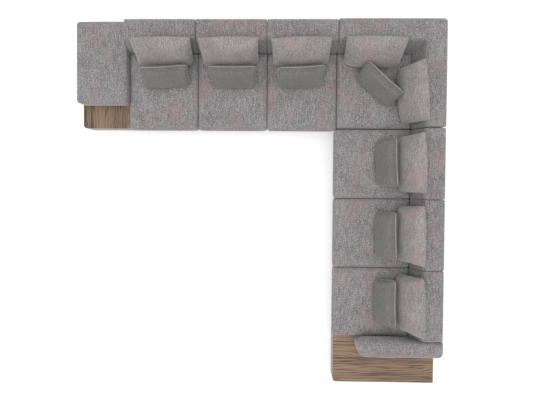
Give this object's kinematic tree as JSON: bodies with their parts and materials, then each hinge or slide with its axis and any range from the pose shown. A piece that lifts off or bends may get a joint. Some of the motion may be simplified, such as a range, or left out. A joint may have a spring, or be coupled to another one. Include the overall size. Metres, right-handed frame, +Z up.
{
  "type": "l-shaped sofa",
  "caption": "L-shaped sofa of separate upholstered units with a square corner seat, loose back and lumbar cushions, and low walnut-topped end units.",
  "frame": {"origin": "on the floor, at the middle of the footprint's box", "axes": "+X along the rear run towards the corner, +Y towards the back of the rear run, +Z up"},
  "size_m": [3.915, 3.923, 0.8772],
  "materials": {
    "sofa_fabric": "grey melange boucle weave",
    "cushion_fabric": "lighter pinkish-grey melange weave",
    "lumbar_fabric": "plain greenish-grey weave with light piping",
    "walnut": "matt oiled walnut veneer",
    "timber": "planed softwood",
    "webbing": "woven elastic webbing",
    "dust_cloth": "thin non-woven cloth",
    "glide_plastic": "black moulded plastic",
    "link_steel": "zinc plated"
  },
  "bodies": {
    "root": {"rear_base_1": "sofa_fabric", "rear_base_2": "sofa_fabric", "rear_base_3": "sofa_fabric", "side_base_1": "sofa_fabric", "side_base_2": "sofa_fabric", "side_base_3": "sofa_fabric", "rear_frame_1": "timber", "rear_frame_2": "timber", "rear_frame_3": "timber", "side_frame_1": "timber", "side_frame_2": "timber", "side_frame_3": "timber", "rear_seat_1": "sofa_fabric", "rear_seat_2": "sofa_fabric", "rear_seat_3": "sofa_fabric", "side_seat_1": "sofa_fabric", "side_seat_2": "sofa_fabric", "side_seat_3": "sofa_fabric", "rear_back_1": "sofa_fabric", "rear_back_2": "sofa_fabric", "rear_back_3": "sofa_fabric", "side_back_1": "sofa_fabric", "side_back_2": "sofa_fabric", "side_back_3": "sofa_fabric", "corner_base": "sofa_fabric", "left_end_base": "sofa_fabric", "right_end_base": "sofa_fabric", "corner_frame": "timber", "left_end_frame": "timber", "right_end_frame": "timber", "corner_seat": "sofa_fabric", "corner_back": "sofa_fabric", "left_end_top": "walnut", "right_end_top": "walnut", "left_arm": "sofa_fabric", "right_arm": "sofa_fabric", "seat_webbing": "webbing", "back_panels": "timber", "dust_covers": "dust_cloth", "glide_feet": "glide_plastic", "link_plates": "link_steel", "link_bolts": "link_steel", "arm_pegs": "timber"},
    "rear_cushion_1": {"rear_cushion_1": "cushion_fabric"},
    "rear_cushion_2": {"rear_cushion_2": "cushion_fabric"},
    "rear_cushion_3": {"rear_cushion_3": "cushion_fabric"},
    "side_cushion_1": {"side_cushion_1": "cushion_fabric"},
    "side_cushion_2": {"side_cushion_2": "cushion_fabric"},
    "side_cushion_3": {"side_cushion_3": "cushion_fabric"},
    "rear_lumbar_1": {"rear_lumbar_1": "lumbar_fabric"},
    "rear_lumbar_2": {"rear_lumbar_2": "lumbar_fabric"},
    "rear_lumbar_3": {"rear_lumbar_3": "lumbar_fabric"},
    "side_lumbar_1": {"side_lumbar_1": "lumbar_fabric"},
    "side_lumbar_2": {"side_lumbar_2": "lumbar_fabric"},
    "side_lumbar_3": {"side_lumbar_3": "lumbar_fabric"},
    "corner_rear_cushion": {"corner_rear_cushion": "cushion_fabric"},
    "corner_side_cushion": {"corner_side_cushion": "cushion_fabric"},
    "corner_lumbar": {"corner_lumbar": "lumbar_fabric"}
  },
  "joints": [
    {"name": "rear_cushion_1_lift", "type": "slide", "parent": "root", "child": "rear_cushion_1", "axis": [0, 0.3987, 0.9171], "range_m": [0, 0.3]},
    {"name": "rear_cushion_2_lift", "type": "slide", "parent": "root", "child": "rear_cushion_2", "axis": [0, 0.3987, 0.9171], "range_m": [0, 0.3]},
    {"name": "rear_cushion_3_lift", "type": "slide", "parent": "root", "child": "rear_cushion_3", "axis": [0, 0.3987, 0.9171], "range_m": [0, 0.3]},
    {"name": "side_cushion_1_lift", "type": "slide", "parent": "root", "child": "side_cushion_1", "axis": [0.3987, 0, 0.9171], "range_m": [0, 0.3]},
    {"name": "side_cushion_2_lift", "type": "slide", "parent": "root", "child": "side_cushion_2", "axis": [0.3987, 0, 0.9171], "range_m": [0, 0.3]},
    {"name": "side_cushion_3_lift", "type": "slide", "parent": "root", "child": "side_cushion_3", "axis": [0.3987, 0, 0.9171], "range_m": [0, 0.3]},
    {"name": "rear_lumbar_1_lift", "type": "slide", "parent": "root", "child": "rear_lumbar_1", "axis": [0, 0.3987, 0.9171], "range_m": [0, 0.2]},
    {"name": "rear_lumbar_2_lift", "type": "slide", "parent": "root", "child": "rear_lumbar_2", "axis": [0, 0.3987, 0.9171], "range_m": [0, 0.2]},
    {"name": "rear_lumbar_3_lift", "type": "slide", "parent": "root", "child": "rear_lumbar_3", "axis": [0, 0.3987, 0.9171], "range_m": [0, 0.2]},
    {"name": "side_lumbar_1_lift", "type": "slide", "parent": "root", "child": "side_lumbar_1", "axis": [0.3987, 0, 0.9171], "range_m": [0, 0.2]},
    {"name": "side_lumbar_2_lift", "type": "slide", "parent": "root", "child": "side_lumbar_2", "axis": [0.3987, 0, 0.9171], "range_m": [0, 0.2]},
    {"name": "side_lumbar_3_lift", "type": "slide", "parent": "root", "child": "side_lumbar_3", "axis": [0.3987, 0, 0.9171], "range_m": [0, 0.2]},
    {"name": "corner_rear_cushion_lift", "type": "slide", "parent": "root", "child": "corner_rear_cushion", "axis": [0, 0.3987, 0.9171], "range_m": [0, 0.3]},
    {"name": "corner_side_cushion_lift", "type": "slide", "parent": "root", "child": "corner_side_cushion", "axis": [0.3987, 0, 0.9171], "range_m": [0, 0.3]},
    {"name": "corner_lumbar_lift", "type": "slide", "parent": "root", "child": "corner_lumbar", "axis": [0, 0, 1], "range_m": [0, 0.2]}
  ]
}
